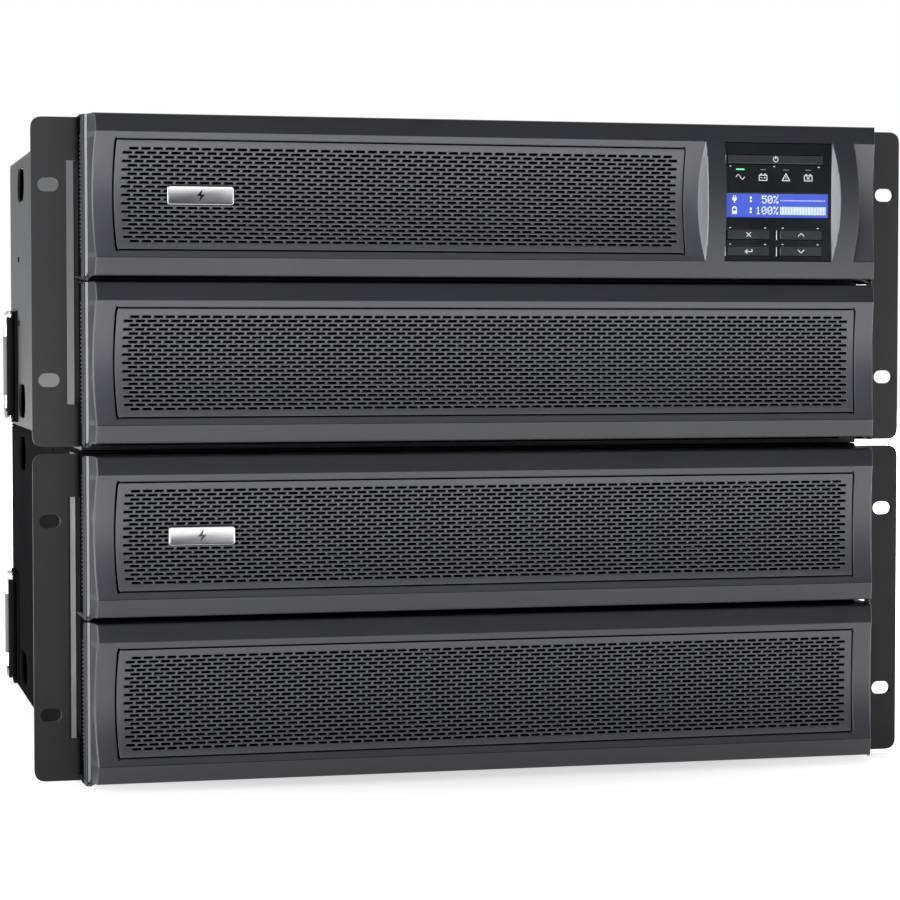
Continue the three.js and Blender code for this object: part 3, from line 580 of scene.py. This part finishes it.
def makeGrille(name, node, left, right, pitch, shortRow):
    centreZ = middleOf(node).z
    rowPitch = slots["rowPitch"]
    rise = rowPitch / 2
    w = slots["width"] / 2
    h = slots["height"] / 2
    c = slots["corner"]
    middle = (left + right) / 2
    halfHeight = slots["halfHeight"]
    radius = bezel["windowCorner"] - slots["gap"]

    def everything():
        return bm.verts[:] + bm.edges[:] + bm.faces[:]

    def mergeDoubles():
        bmesh.ops.remove_doubles(bm, verts=bm.verts[:], dist=mergeGap)

    bm = bmesh.new()
    cell = [(-pitch / 2, rise), (0, rise), (pitch / 2, rise), (pitch / 2, rise / 3), (pitch / 2, -rise / 3),
            (pitch / 2, -rise), (0, -rise), (-pitch / 2, -rise), (-pitch / 2, -rise / 3), (-pitch / 2, rise / 3)]
    hole = [(-w + c, h), (0, h), (w - c, h), (w, h - c), (w, c - h), (w - c, -h), (0, -h), (c - w, -h),
            (-w, c - h), (-w, h - c)]
    bmesh.ops.bridge_loops(bm, edges=ringOf(bm, cell) + ringOf(bm, hole))
    bmesh.ops.spin(bm, geom=everything(), cent=(0, 0, 0), axis=(0, 1, 0), dvec=(pitch * mm, 0, 0), angle=0,
                   steps=shortRow, use_duplicate=True)
    mergeDoubles()
    moved = vertsIn(bmesh.ops.duplicate(bm, geom=everything())["geom"])
    bmesh.ops.translate(bm, verts=moved, vec=(pitch / 2 * mm, 0, -rowPitch * mm))
    spare = [face for face in {f for v in moved for f in v.link_faces}
             if face.calc_center_median().x > shortRow * pitch * mm]
    bmesh.ops.delete(bm, geom=spare, context="FACES")
    bmesh.ops.spin(bm, geom=everything(), cent=(0, 0, 0), axis=(0, 1, 0), dvec=(0, 0, 2 * rowPitch * mm), angle=0,
                   steps=slots["pairs"], use_duplicate=True)
    top = (2 * slots["pairs"] - 0.5) * rowPitch * mm
    bmesh.ops.delete(bm, geom=[face for face in bm.faces if face.calc_center_median().z > top], context="FACES")
    bmesh.ops.translate(bm, verts=bm.verts[:], vec=Vector((middle - shortRow * pitch / 2, 0,
                                                           rowPitch * (1 - slots["pairs"]))) * mm)
    mergeDoubles()

    # short rows are filled out to the long rows' ends, so that the pattern is a rectangle
    shortHalf = shortRow * pitch / 2
    longHalf = shortHalf + pitch / 2
    patternHalf = (slots["pairs"] + 0.5) * rowPitch
    ends = [edge for edge in bm.edges if edge.is_boundary
            and all(abs(abs(v.co.x / mm - middle) - shortHalf) < close for v in edge.verts)]
    for vert in vertsIn(bmesh.ops.extrude_edge_only(bm, edges=ends)["geom"]):
        vert.co.x = (middle + math.copysign(longHalf, vert.co.x / mm - middle)) * mm
    mergeDoubles()

    def onRectangle(vert):
        return abs(abs(vert.co.x / mm - middle) - longHalf) < close or abs(abs(vert.co.z / mm) - patternHalf) < close

    # a plain margin runs out to the rounded outline
    edges = [edge for edge in bm.edges if edge.is_boundary and all(onRectangle(v) for v in edge.verts)]
    edges = extrudeEdges(bm, edges)
    inset = slots["edgeRound"]
    verts = vertsOf(edges)
    for vert in verts:
        if abs(vert.co.z / mm) > patternHalf - close:
            vert.co.z = math.copysign((halfHeight - inset) * mm, vert.co.z)
        if vert.co.x / mm > middle + longHalf - close:
            vert.co.x = (right - inset) * mm
        elif vert.co.x / mm < middle - longHalf + close:
            vert.co.x = (left + inset) * mm

    def atEnd(vert):
        return vert.co.x / mm > right - inset - close or vert.co.x / mm < left + inset + close

    def atTop(vert):
        return abs(vert.co.z / mm) > halfHeight - inset - close

    corners = [v for v in verts if atTop(v) and atEnd(v)]
    nearCorner = [edge for edge in edges if any(v in corners for v in edge.verts)]
    bmesh.ops.subdivide_edges(bm, edges=nearCorner, cuts=slots["cornerCuts"])
    edges = [edge for edge in bm.edges if edge.is_boundary and all(atTop(v) or atEnd(v) for v in edge.verts)]
    for vert in vertsOf(edges):
        x, z = roundedCorner(vert.co.x / mm, vert.co.z / mm, left + inset, right - inset, halfHeight - inset,
                             radius - inset, close)
        vert.co.x = x * mm
        vert.co.z = z * mm
    for share, drop in roundSteps:
        edges = extrudeEdges(bm, edges)
        for vert in vertsOf(edges):
            x = vert.co.x / mm
            z = vert.co.z / mm
            away = Vector((x - min(max(x, left + radius), right - radius), 0,
                           z - min(max(z, radius - halfHeight), halfHeight - radius)))
            vert.co += away.normalized() * inset * share * mm + Vector((0, drop * mm, 0))
    fullWidth = right > display["grilleRight"]
    for vert in bm.verts:
        x = vert.co.x / mm
        dz = vert.co.z / mm
        swell = max(0.0, 1 - (dz / halfHeight) ** 2)
        if x < 0 or fullWidth:
            x *= 1 + bezel["windowBow"] / bezel["grilleWindow"] * swell
        vert.co = Vector((x * mm, vert.co.y + (earPlane + hollowDepth(dz)) * mm, (dz + centreZ) * mm))
    bmesh.ops.recalc_face_normals(bm, faces=bm.faces[:])
    if sum(face.normal.y for face in bm.faces) > 0:
        bmesh.ops.reverse_faces(bm, faces=bm.faces[:])
    made = publish(name, bm, looks["grille_plastic"], bodyOf[node], slots["crease"], node, outward=False)
    plate = made.modifiers.new("plate", "SOLIDIFY")
    plate.thickness = slots["thickness"] * mm
    plate.offset = -1
    # the slot walls and rims take the near-black colour: painted shade in the slots
    made.data.materials.append(paintedShadeBlack)
    plate.material_offset_rim = 1


for unit, bay, right in fronts:
    pitch, shortRow = slots["displayRow"] if bay == "display" else slots["row"]
    makeGrille(unit + bay.title() + "Slots", f"{unit}_{bay}_grille", slots["gap"] - bezel["grilleWindow"],
               right - slots["gap"], pitch, shortRow)
print("grilles ready")


# a near-black sheet behind each grille, painted shade seen through the slots, and a ribbed seal on each bezel's sides
shadeSheet = {"front": -27.4, "back": -25.4, "half": 31, "end": 205, "displayEnd": 109, "bevel": 0.4}
seal = {"ribs": 29, "pitch": 2.2, "height": 1.0, "front": -13.6, "back": -12.0, "proud": 0.5, "sunk": 0.3,
        "bevel": 0.25}


def makeShadeSheetAndSeal(name, bezelNode, right):
    centreZ = middleOf(bezelNode).z
    bm = bmesh.new()
    addBlock(bm, (-shadeSheet["end"], earPlane + shadeSheet["front"], centreZ - shadeSheet["half"]),
             (right, earPlane + shadeSheet["back"], centreZ + shadeSheet["half"]), shadeSheet["bevel"])
    publish(name + "Filter", bm, paintedShadeBlack, bodyOf[bezelNode])
    bm = bmesh.new()
    skirt = bezel["skirtHalf"]
    for side in (-1, 1):
        for rib in range(seal["ribs"]):
            z = centreZ + (rib - (seal["ribs"] - 1) / 2) * seal["pitch"]
            near, far = sorted((side * (skirt - seal["sunk"]), side * (skirt + seal["proud"])))
            addBlock(bm, (near, earPlane + seal["front"], z - seal["height"] / 2),
                     (far, earPlane + seal["back"], z + seal["height"] / 2), seal["bevel"], 1)
    publish(name + "Seal", bm, looks["socket_black"], bodyOf[bezelNode])


for unit, bay, right in fronts:
    makeShadeSheetAndSeal(unit + bay.title(), f"{unit}_{bay}_bezel", shadeSheet["displayEnd"] if bay == "display" else shadeSheet["end"])
print("filters ready")

# blank badge with a bolt
badge = {"corner": 1.6, "edge": 0.35, "thickness": 1.2, "rim": 0.5, "recess": 0.2, "boltThick": 0.3, "boltSink": 0.25,
         "bolt": ((0.9, 3.2), (-2.2, -0.4), (-0.2, -0.4), (-0.9, -3.2), (2.2, 0.5), (0.2, 0.5))}


def makeBadge(name, node):
    low, high = span(node)
    middle = middleOf(node)
    bm = bmesh.new()
    place = Matrix.Translation(Vector((middle.x, low.y + badge["thickness"] / 2, middle.z)) * mm)
    place @= Matrix.Diagonal(((high.x - low.x) * mm, badge["thickness"] * mm, (high.z - low.z) * mm, 1))
    bmesh.ops.create_cube(bm, size=1, matrix=place)
    uprights = [edge for edge in bm.edges if abs(edge.verts[0].co.y - edge.verts[1].co.y) > 0.5 * mm]
    bevelEdges(bm, uprights, badge["corner"], 5)
    front = min(bm.faces, key=lambda face: face.calc_center_median().y)
    bevelEdges(bm, list(front.edges), badge["edge"], 2)
    front = min(bm.faces, key=lambda face: face.calc_center_median().y)
    bmesh.ops.inset_individual(bm, faces=[front], thickness=badge["rim"] * mm, depth=-badge["recess"] * mm)
    publish(name, bm, looks["badge_silver"], bodyOf[node], 30, node)
    bm = bmesh.new()
    edges = ringOf(bm, [(middle.x + px, middle.z + pz) for px, pz in badge["bolt"]])
    face = bmesh.ops.contextual_create(bm, geom=edges)["faces"]
    solid = bmesh.ops.extrude_face_region(bm, geom=face)["geom"]
    bmesh.ops.translate(bm, verts=vertsIn(solid), vec=(0, -badge["boltThick"] * mm, 0))
    bmesh.ops.translate(bm, verts=bm.verts[:], vec=(0, (low.y + badge["boltSink"]) * mm, 0))
    publish(name + "Bolt", bm, looks["display_black"], bodyOf[node])


makeBadge("upsBadgePlate", "ups_badge")
makeBadge("packBadgePlate", "pack_badge")
print("badges ready")

# display: lamps, symbols, key legends and the screen's picture
panel = {"lampRise": 17.5, "iconRise": 13.4, "columns": (134.9, 147.9, 161.0, 173.8), "lampWidth": 4.6,
         "dimWidth": 3.3, "lampHeight": 0.75, "dimShare": 0.6, "stroke": 0.42, "fineShare": 0.8,
         "proud": 0.12, "lampSunk": 0.4, "glintSunk": 0.3, "bevel": 0.1, "glint": 0.45, "glintLength": 1.1}
glyphs = {
    "0": "01110 10001 10011 10101 11001 10001 01110", "1": "00100 01100 00100 00100 00100 00100 01110",
    "5": "11111 10000 11110 00001 00001 10001 01110", "%": "11001 11010 00010 00100 01000 01011 10011",
    "colon": "00000 01100 01100 00000 01100 01100 00000", "plug": "01010 01010 11111 11111 01110 00100 00100",
    "cell": "01110 11011 10001 10001 11111 11111 11111",
}
upperCentre = middleOf("ups_display_bezel").z
fasciaFront = span("display_fascia")[0].y


def makeLamps():
    lit = bmesh.new()
    dim = bmesh.new()
    z = upperCentre + panel["lampRise"]
    for index, x in enumerate(panel["columns"]):
        width = panel["lampWidth"] if index == 0 else panel["dimWidth"]
        height = panel["lampHeight"] if index == 0 else panel["lampHeight"] * panel["dimShare"]
        addBlock(lit if index == 0 else dim, (x - width / 2, fasciaFront - panel["proud"], z - height / 2),
                 (x + width / 2, fasciaFront + panel["lampSunk"], z + height / 2), panel["bevel"])
    publish("onlineLamp", lit, lampGreen, "display_module")
    publish("idleLamps", dim, lampDim, "display_module")


# symbols are strokes round their column's centre: bold ones, then fine ones
caseStrokes = [[(-2.2, -1.7), (2.2, -1.7), (2.2, 1.1), (-2.2, 1.1), (-2.2, -1.7)], [(-1.6, 1.7), (-0.7, 1.7)],
               [(0.7, 1.7), (1.6, 1.7)]]
symbols = (
    ([[(step * 0.4 - 2.4, 1.25 * math.sin(math.radians(step * 30))) for step in range(13)]], []),
    (caseStrokes, [[(-1.4, -0.2), (-0.5, -0.2)], [(0.5, -0.2), (1.4, -0.2)], [(0.95, -0.65), (0.95, 0.25)]]),
    ([[(-2.2, -1.7), (2.2, -1.7), (0, 2.1), (-2.2, -1.7)]], [[(0, -0.5), (0, 0.7)], [(0, -1.15), (0, -1.0)]]),
    (caseStrokes, [[(-0.8, -1.0), (0.8, 0.5)], [(-0.8, 0.5), (0.8, -1.0)]]),
)


def makeSymbols():
    bm = bmesh.new()
    z = upperCentre + panel["iconRise"]
    for x, (bold, fine) in zip(panel["columns"], symbols):
        for strokes, width in ((bold, panel["stroke"]), (fine, panel["stroke"] * panel["fineShare"])):
            for stroke in strokes:
                addStroke(bm, [(x + px, z + pz) for px, pz in stroke], width, fasciaFront)
    publish("panelSymbols", bm, paintedGlowAndGlintWhite, "display_module")


def makeLegend(name, node, strokes):
    front = span(node)[0].y
    middle = middleOf(node)
    bm = bmesh.new()
    for stroke in strokes:
        addStroke(bm, [(middle.x + px, middle.z + pz) for px, pz in stroke], panel["stroke"], front)
    publish(name, bm, paintedGlowAndGlintWhite, bodyOf[node])


# two rows of dots on the screen, then the bars: offsets from its upper left corner
picture = {"dotPitch": 0.56, "rowStep": 0.6, "dotWidth": 0.5, "dotHeight": 0.52, "proud": 0.06, "sunk": 0.05,
           "rows": ((3.4, 1.1, ("plug",)), (13.0, 1.1, ("colon",)), (20.4, 1.1, ("5", "0", "%")),
                    (3.4, 7.0, ("cell",)), (13.0, 7.0, ("colon",)), (17.0, 7.0, ("1", "0", "0", "%"))),
           "bars": ((31.2, 1.09, 24, 3.9, 3.4), (31.0, 0.88, 30, 11.3, 7.0))}


def makeScreenPicture():
    low, high = span("lcd_screen")
    left = low.x
    top = high.z
    bm = bmesh.new()

    def addDot(x, bottom, rise):
        addBlock(bm, (x, low.y - picture["proud"], bottom), (x + picture["dotWidth"], low.y + picture["sunk"], rise))

    for start, drop, words in picture["rows"]:
        for place, word in enumerate(words):
            for row, line in enumerate(glyphs[word].split()):
                for column, mark in enumerate(line):
                    z = top - drop - row * picture["rowStep"]
                    if mark == "1":
                        addDot(left + start + (6 * place + column) * picture["dotPitch"], z - picture["dotHeight"], z)
    for start, pitch, count, bottom, rise in picture["bars"]:
        for step in range(count):
            addDot(left + start + step * pitch, top - bottom, top - rise)
    publish("screenPicture", bm, screenMarks, "display_module")


# small white bars and dots by the keys: painted highlights in place of glints on the clear key surrounds
def makeKeyGlints():
    bm = bmesh.new()
    width = panel["glint"]

    def addGlint(left, right, bottom, top):
        addBlock(bm, (left, fasciaFront - panel["proud"], bottom), (right, fasciaFront + panel["glintSunk"], top),
                 panel["bevel"])

    for node in ("power_button", "escape_button", "enter_button", "up_button", "down_button"):
        low, high = span(node)
        edge = low.x - (1.35 if node in ("up_button", "down_button") else 0.6)
        addGlint(edge, edge + width, low.z + 0.2, high.z - 0.6)
        z = high.z + 0.75
        spots = [low.x + 1.8, high.x - 3.2]
        if node == "power_button":
            z = low.z - 0.9
            spots.append((low.x + high.x) / 2 - 1)
        for x in spots:
            addGlint(x, x + panel["glintLength"], z - width / 2, z + width / 2)
    publish("keyGlints", bm, paintedGlowAndGlintWhite, "display_module")


makeLamps()
makeSymbols()
makeKeyGlints()
makeScreenPicture()
openRing = [math.radians(115 + 310 * step / 16) for step in range(17)]
makeLegend("powerLegend", "power_button", [[(1.35 * math.cos(turn), 1.35 * math.sin(turn)) for turn in openRing],
                                          [(0, 0.3), (0, 1.7)]])
makeLegend("escapeLegend", "escape_button", [[(-1.2, -1.1), (1.2, 1.1)], [(-1.2, 1.1), (1.2, -1.1)]])
makeLegend("enterLegend", "enter_button", [[(2.0, 1.0), (2.0, -0.3), (-1.8, -0.3)],
                                          [(-0.7, 0.8), (-1.9, -0.3), (-0.7, -1.4)]])
makeLegend("upLegend", "up_button", [[(-1.7, -0.7), (0, 0.9), (1.7, -0.7)]])
makeLegend("downLegend", "down_button", [[(-1.7, 0.7), (0, -0.9), (1.7, 0.7)]])
print("display ready")

# folding side handles: a bent chrome bail with a rubber grip
bail = {"rod": 2.0, "boss": 2.4, "bossRound": 0.4, "grip": 2.5, "gripRound": 0.5, "bend": 8.0, "pin": 1.1,
        "pinLength": 6.0, "pinOverlap": 0.2, "gripInset": 15.0, "crease": 40}


def makeHandle(node):
    low, high = span(node)
    x = middleOf(node).x
    pivotY = low.y + bail["boss"]
    gripY = high.y - bail["grip"]
    bottom = low.z + bail["rod"]
    top = high.z - bail["rod"]
    bend = bail["bend"]
    arc = [(bend * math.sin(math.radians(turn)), bend * math.cos(math.radians(turn))) for turn in range(0, 91, 15)]
    upper = [(x, gripY - bend + out, top - bend + rise) for out, rise in arc]
    lower = [(x, gripY - bend + rise, bottom + bend - out) for out, rise in arc]
    bm = bmesh.new()
    sweep(bm, [(x, pivotY, top)] + upper + lower + [(x, pivotY, bottom)], bail["rod"], 16)
    for z, way in ((top, -1), (bottom, 1)):
        addRod(bm, (x, pivotY, z), upright, bail["boss"], bail["rod"] * 2, 20, bail["bossRound"])
        reach = bail["rod"] + bail["pinLength"] / 2 - bail["pinOverlap"]
        addRod(bm, (x, pivotY, z + way * reach), upright, bail["pin"], bail["pinLength"], 12)
    publish(node + "_bail", bm, looks["chrome"], bodyOf[node], bail["crease"], node)
    bm = bmesh.new()
    length = top - bottom - 2 * bail["gripInset"]
    addRod(bm, (x, gripY, (top + bottom) / 2), upright, bail["grip"], length, 20, bail["gripRound"])
    publish(node + "_grip", bm, gripRubber, bodyOf[node], bail["crease"])


for unit in ("ups", "pack"):
    makeHandle(unit + "_left_handle")
    makeHandle(unit + "_right_handle")
print("handles ready")

# screws and rivets on the case, wire guards over the fans
fastening = {"rearEdge": 209.0, "rearRise": (12.0, 88.0, 163.0), "sideRise": 168.0, "sideRun": (60, 150, 240),
             "rivetRun": 384.0, "rivetRise": (67.5, 109.6), "rearHead": (3.0, 1.5), "sideHead": (2.6, 1.2),
             "rivetHead": (1.9, 0.7), "crease": 35}
guard = {"wire": 0.75, "rings": (9, 18, 27, 36), "stand": 1.0, "reach": 39.5, "spokes": (45, 135), "spokeLift": 0.9,
         "wireSides": 8, "steps": 40, "crease": 40}


def makeFasteners(unit):
    base = span(unit + "_chassis")[0].z
    bm = bmesh.new()
    for side in (-1, 1):
        for rise in fastening["rearRise"]:
            addScrew(bm, (side * fastening["rearEdge"], rearPlane, base + rise), (0, 1, 0), *fastening["rearHead"])
    publish(unit + "Screws", bm, looks["chrome"], "chassis_stack", fastening["crease"])
    bm = bmesh.new()
    for side in (-1, 1):
        outward = (side, 0, 0)
        x = side * sidePlane
        for run in fastening["sideRun"]:
            addScrew(bm, (x, earPlane + run, base + fastening["sideRise"]), outward, *fastening["sideHead"])
        for rise in fastening["rivetRise"]:
            addScrew(bm, (x, earPlane + fastening["rivetRun"], base + rise), outward, *fastening["rivetHead"])
    publish(unit + "Rivets", bm, looks["pack_coat"], "chassis_stack", fastening["crease"])


def makeFanGuard(name, rotorNode):
    hub = middleOf(rotorNode)
    hub.y = rearPlane + guard["stand"]
    bm = bmesh.new()
    for ring in guard["rings"]:
        section = bmesh.ops.create_circle(bm, segments=guard["wireSides"], radius=guard["wire"] * mm,
                                          matrix=Matrix.Translation((hub + Vector((ring, 0, 0))) * mm))["verts"]
        bmesh.ops.spin(bm, geom=section + edgesOf(section), cent=hub * mm, axis=(0, 1, 0), angle=math.radians(360),
                       steps=guard["steps"], use_merge=True)
    for turn in guard["spokes"]:
        along = (math.cos(math.radians(turn)), 0, math.sin(math.radians(turn)))
        addRod(bm, hub + Vector((0, guard["spokeLift"], 0)), along, guard["wire"], guard["reach"] * 2,
               guard["wireSides"])
    publish(name, bm, looks["chrome"], "chassis_stack", guard["crease"])


makeFasteners("ups")
makeFasteners("pack")
makeFanGuard("leftFanGuard", "left_fan_rotor")
makeFanGuard("rightFanGuard", "right_fan_rotor")
print("fasteners and guards ready")

# camera and light
view = {"place": (-364.1, -1414.7, 236.3), "yaw": 13.76, "pitch": -2.471, "lens": 107.98, "sensor": 36, "far": 60}
camera = bpy.data.objects.new("camera", bpy.data.cameras.new("camera"))
scene.collection.objects.link(camera)
camera.data.lens = view["lens"]
camera.data.sensor_width = view["sensor"]
camera.data.clip_end = view["far"]
camera.location = (Vector(view["place"]) + Vector((0, earPlane, 0))) * mm
camera.rotation_euler = (math.radians(90 + view["pitch"]), 0, math.radians(-view["yaw"]))
scene.camera = camera


# place and aim in metres, size across and up in metres, power in watts
lights = {
    "frontLeft": {"place": (-1.7, -2.0, 0.6), "aim": (-0.05, -0.2, 0.17), "size": (0.9, 1.2), "power": 20},
    "farLeft": {"place": (-2.3, -0.75, 0.35), "aim": (0, -0.2, 0.2), "size": (0.9, 0.9), "power": 30},
    "overhead": {"place": (0.3, 0.6, 2.4), "aim": (0, 0, 0), "size": (2.0, 2.0), "power": 28},
}
for name, light in lights.items():
    lamp = bpy.data.objects.new(name, bpy.data.lights.new(name, "AREA"))
    scene.collection.objects.link(lamp)
    lamp.data.shape = "RECTANGLE"
    lamp.data.size, lamp.data.size_y = light["size"]
    lamp.data.energy = light["power"]
    lamp.location = light["place"]
    lamp.rotation_euler = (Vector(light["aim"]) - Vector(light["place"])).to_track_quat("-Z", "Y").to_euler()

# the floor glows more away from the object, and the room is dark in front and light behind
studio = {"half": 6, "drop": 0.4, "fade": (0.25, 0.9), "glow": (0.62, 2.1), "room": (-0.35, 0.15),
          "roomLight": (0.07, 0.62), "roomTone": (0.95, 0.97, 1.0, 1)}


def addRange(tree, reach, result):
    made = tree.nodes.new("ShaderNodeMapRange")
    for side, start, end in (("Min", reach[0], result[0]), ("Max", reach[1], result[1])):
        made.inputs["From " + side].default_value = start
        made.inputs["To " + side].default_value = end
    return made


def makeFloor():
    bm = bmesh.new()
    bmesh.ops.create_grid(bm, x_segments=2, y_segments=2, size=studio["half"])
    mesh = bpy.data.meshes.new("floor")
    bm.to_mesh(mesh)
    bm.free()
    floor = bpy.data.objects.new("floor", mesh)
    scene.collection.objects.link(floor)
    floor.location.z = -studio["drop"] * mm
    pale = finish("paleFloor", (0.90, 0.90, 0.90), (0.88, 0.88, 0.88), 0.7, grain=40, bump=0.01)
    tree = pale.node_tree
    surface = tree.nodes["Principled BSDF"]
    place = tree.nodes.new("ShaderNodeTexCoord")
    away = tree.nodes.new("ShaderNodeVectorMath")
    away.operation = "LENGTH"
    fade = addRange(tree, studio["fade"], studio["glow"])
    tree.links.new(place.outputs["Object"], away.inputs[0])
    tree.links.new(away.outputs["Value"], fade.inputs["Value"])
    tree.links.new(fade.outputs["Result"], surface.inputs["Emission Color"])
    surface.inputs["Emission Strength"].default_value = 1.0
    mesh.materials.append(pale)


def makeWorld():
    world = bpy.data.worlds.new("studio")
    scene.world = world
    world.use_nodes = True
    tree = world.node_tree
    link = tree.links.new
    back = tree.nodes["Background"]
    back.inputs["Color"].default_value = studio["roomTone"]
    white = tree.nodes.new("ShaderNodeBackground")
    white.inputs["Color"].default_value = (1, 1, 1, 1)
    place = tree.nodes.new("ShaderNodeTexCoord")
    split = tree.nodes.new("ShaderNodeSeparateXYZ")
    room = addRange(tree, studio["room"], studio["roomLight"])
    ray = tree.nodes.new("ShaderNodeLightPath")
    choose = tree.nodes.new("ShaderNodeMixShader")
    link(place.outputs["Generated"], split.inputs[0])
    link(split.outputs["Y"], room.inputs["Value"])
    link(room.outputs["Result"], back.inputs["Strength"])
    link(ray.outputs["Is Camera Ray"], choose.inputs[0])
    link(back.outputs[0], choose.inputs[1])
    link(white.outputs[0], choose.inputs[2])
    link(choose.outputs[0], tree.nodes["World Output"].inputs["Surface"])


makeFloor()
makeWorld()
print("camera, light and floor ready")

# finishes and softened edges on the frame's own parts
softened = {"outlet_bank": 0.3, "power_inlet": 0.3, "battery_lead_socket": 0.4, "pack_lead_socket": 0.4,
            "breaker_button": 0.5, "pack_breaker_switch": 0.4, "display_fascia": 0.22, "display_housing": 0.2,
            "lcd_screen": 0.15, "transformer": 1.2, "power_button": 0.4, "escape_button": 0.4, "up_button": 0.4,
            "enter_button": 0.4, "down_button": 0.4}
usualSoftening = 0.3
# the lower unit's ears take the darker copy as painted shade; the pack's rear panel takes the lighter copy
litAndShadedCopies = {"pack_left_ear": shadedLowerEarCoat, "pack_right_ear": shadedLowerEarCoat, "pack_rear_panel": packRearCoat}
for node, shown in frame["nodes"].items():
    shown.data.materials.clear()
    shown.data.materials.append(litAndShadedCopies.get(node, looks[slotOf[node]]))
    merge = shown.modifiers.new("merge", "WELD")
    merge.merge_threshold = mergeGap
    soften = shown.modifiers.new("soften", "BEVEL")
    soften.width = softened.get(node, usualSoftening) * mm
    soften.segments = 2
    soften.limit_method = "ANGLE"
    soften.angle_limit = math.radians(40)
    soften.use_clamp_overlap = True
    soften.harden_normals = True
print("frame finishes ready")
